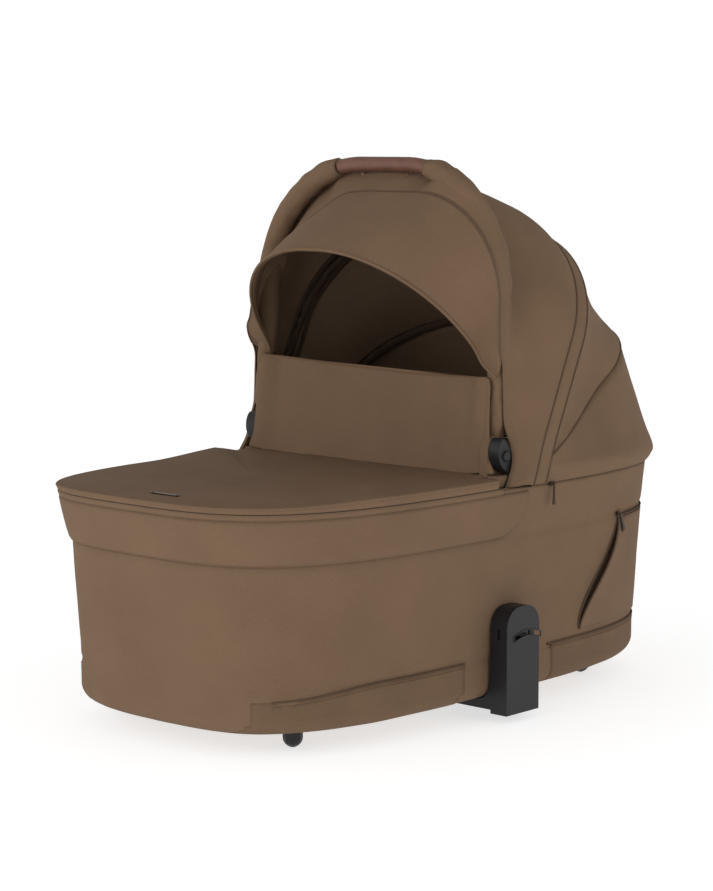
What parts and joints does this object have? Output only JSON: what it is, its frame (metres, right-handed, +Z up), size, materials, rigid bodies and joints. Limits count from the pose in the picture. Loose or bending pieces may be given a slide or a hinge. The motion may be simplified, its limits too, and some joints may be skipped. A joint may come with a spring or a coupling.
{
  "type": "carrycot",
  "caption": "Padded carrycot with a folding hood, visor, carry handle with leather grip, slide-off apron with windshield flap, zips and side adapters with release levers",
  "frame": {"origin": "on the floor at the middle of the overall bounding box", "axes": "+Z up, +Y towards the head end under the hood, -Y towards the foot end, X across; +X is the side with the zip pulls"},
  "size_m": [0.492, 0.802, 0.6651],
  "materials": {
    "outer_cloth": "matte, finely woven",
    "lining_cloth": "matte, dark",
    "mattress_cover": "matte cotton",
    "board": "plain fibreboard",
    "leather": "smooth, satin",
    "black_plastic": "satin moulding",
    "grey_plastic": "satin moulding",
    "steel": "drawn",
    "bronze": "antique bronze"
  },
  "bodies": {
    "tub": {"tub_body": "outer_cloth", "base_panel": "outer_cloth", "base_board": "board", "tub_lining": "lining_cloth", "rim_tube": "steel", "mattress": "mattress_cover", "skirt_band": "outer_cloth", "apron_zip": "lining_cloth", "hood_zip": "lining_cloth", "vent_flap": "outer_cloth", "foot_front_left": "black_plastic", "foot_front_right": "black_plastic", "foot_rear_left": "black_plastic", "foot_rear_right": "black_plastic", "adapter_left": "black_plastic", "adapter_right": "black_plastic", "arm_screw_left_front": "steel", "arm_screw_left_rear": "steel", "arm_screw_right_front": "steel", "arm_screw_right_rear": "steel", "lever_spring_left": "steel", "lever_spring_right": "steel", "hinge_bracket_left": "black_plastic", "hinge_bracket_right": "black_plastic", "hinge_pin_left": "steel", "hinge_pin_right": "steel", "bow_plate_left": "black_plastic", "bow_plate_right": "black_plastic", "hood_lower_panel": "outer_cloth"},
    "hood_frame": {"handle_tube": "steel", "handle_grip": "leather", "handle_sleeve_left": "outer_cloth", "handle_sleeve_right": "outer_cloth", "hinge_knob_left": "black_plastic", "hinge_knob_right": "black_plastic", "hood_front_panel": "outer_cloth"},
    "mid_bow": {"middle_bow": "black_plastic", "hood_band": "outer_cloth"},
    "back_bow": {"rear_bow": "black_plastic", "hood_rear_panel": "outer_cloth"},
    "visor": {"visor_wire": "steel", "visor_fabric": "outer_cloth"},
    "apron": {"apron_cover": "outer_cloth"},
    "flap": {"apron_flap": "outer_cloth"},
    "button_left": {"lock_button_left": "grey_plastic"},
    "button_right": {"lock_button_right": "grey_plastic"},
    "lever_left": {"release_lever_left": "grey_plastic"},
    "lever_right": {"release_lever_right": "grey_plastic"},
    "bolt_left": {"latch_bolt_left": "steel"},
    "bolt_right": {"latch_bolt_right": "steel"},
    "hood_slider": {"hood_zip_slider": "bronze"},
    "hood_pull": {"hood_zip_pull": "bronze"},
    "vent_slider": {"vent_zip_slider": "bronze"},
    "vent_pull": {"vent_zip_pull": "bronze"}
  },
  "joints": [
    {"name": "hood_fold", "type": "hinge", "parent": "tub", "child": "hood_frame", "pos_m": [0, -0.005, 0.315], "axis": [-1, 0, 0], "range_deg": [0, 70], "deforming": ["hood_front_panel", "hood_band", "hood_rear_panel", "hood_lower_panel"]},
    {"name": "mid_bow_fold", "type": "hinge", "parent": "tub", "child": "mid_bow", "pos_m": [0, 0.05, 0.3005], "axis": [-1, 0, 0], "range_deg": [0, 48]},
    {"name": "back_bow_fold", "type": "hinge", "parent": "tub", "child": "back_bow", "pos_m": [0, 0.08, 0.302], "axis": [-1, 0, 0], "range_deg": [0, 19]},
    {"name": "visor_fold", "type": "hinge", "parent": "hood_frame", "child": "visor", "pos_m": [0, 0.004, 0.4125], "axis": [-1, 0, 0], "range_deg": [0, 50], "deforming": ["visor_fabric"]},
    {"name": "apron_slide", "type": "slide", "parent": "tub", "child": "apron", "axis": [0, -1, 0], "range_m": [0, 0.45]},
    {"name": "flap_fold", "type": "hinge", "parent": "apron", "child": "flap", "pos_m": [0, -0.0075, 0.2975], "axis": [1, 0, 0], "range_deg": [0, 94]},
    {"name": "button_left_press", "type": "slide", "parent": "hood_frame", "child": "button_left", "axis": [1, 0, 0], "range_m": [0, 0.004], "stiffness_N_per_m": 600},
    {"name": "button_right_press", "type": "slide", "parent": "hood_frame", "child": "button_right", "axis": [-1, 0, 0], "range_m": [0, 0.004], "stiffness_N_per_m": 600},
    {"name": "lever_left_lift", "type": "slide", "parent": "tub", "child": "lever_left", "axis": [0, 0, 1], "range_m": [0, 0.0035], "stiffness_N_per_m": 800, "deforming": ["lever_spring_left"]},
    {"name": "lever_right_lift", "type": "slide", "parent": "tub", "child": "lever_right", "axis": [0, 0, 1], "range_m": [0, 0.0035], "stiffness_N_per_m": 800, "deforming": ["lever_spring_right"]},
    {"name": "bolt_left_draw", "type": "slide", "parent": "tub", "child": "bolt_left", "axis": [-1, 0, 0], "range_m": [0, 0.0028]},
    {"name": "bolt_right_draw", "type": "slide", "parent": "tub", "child": "bolt_right", "axis": [1, 0, 0], "range_m": [0, 0.0028]},
    {"name": "hood_slider_run", "type": "slide", "parent": "tub", "child": "hood_slider", "axis": [-0.0092, 1, 0], "range_m": [0, 0.06]},
    {"name": "hood_pull_swing", "type": "hinge", "parent": "hood_slider", "child": "hood_pull", "pos_m": [0.23791, 0.07003, 0.2775], "axis": [0.0092, -1, 0], "range_deg": [0, 80]},
    {"name": "vent_slider_run", "type": "slide", "parent": "tub", "child": "vent_slider", "axis": [-0.1972, 0.9804, 0], "range_m": [0, 0.03]},
    {"name": "vent_pull_swing", "type": "hinge", "parent": "vent_slider", "child": "vent_pull", "pos_m": [0.21532, 0.24071, 0.2205], "axis": [0.1972, -0.9804, 0], "range_deg": [0, 80]}
  ],
  "couplings": [
    {"joint": "mid_bow_fold", "follows": "hood_fold", "ratio": 0.6857},
    {"joint": "back_bow_fold", "follows": "hood_fold", "ratio": 0.2714},
    {"joint": "bolt_left_draw", "follows": "lever_left_lift", "ratio": 0.8},
    {"joint": "bolt_right_draw", "follows": "lever_right_lift", "ratio": 0.8}
  ]
}
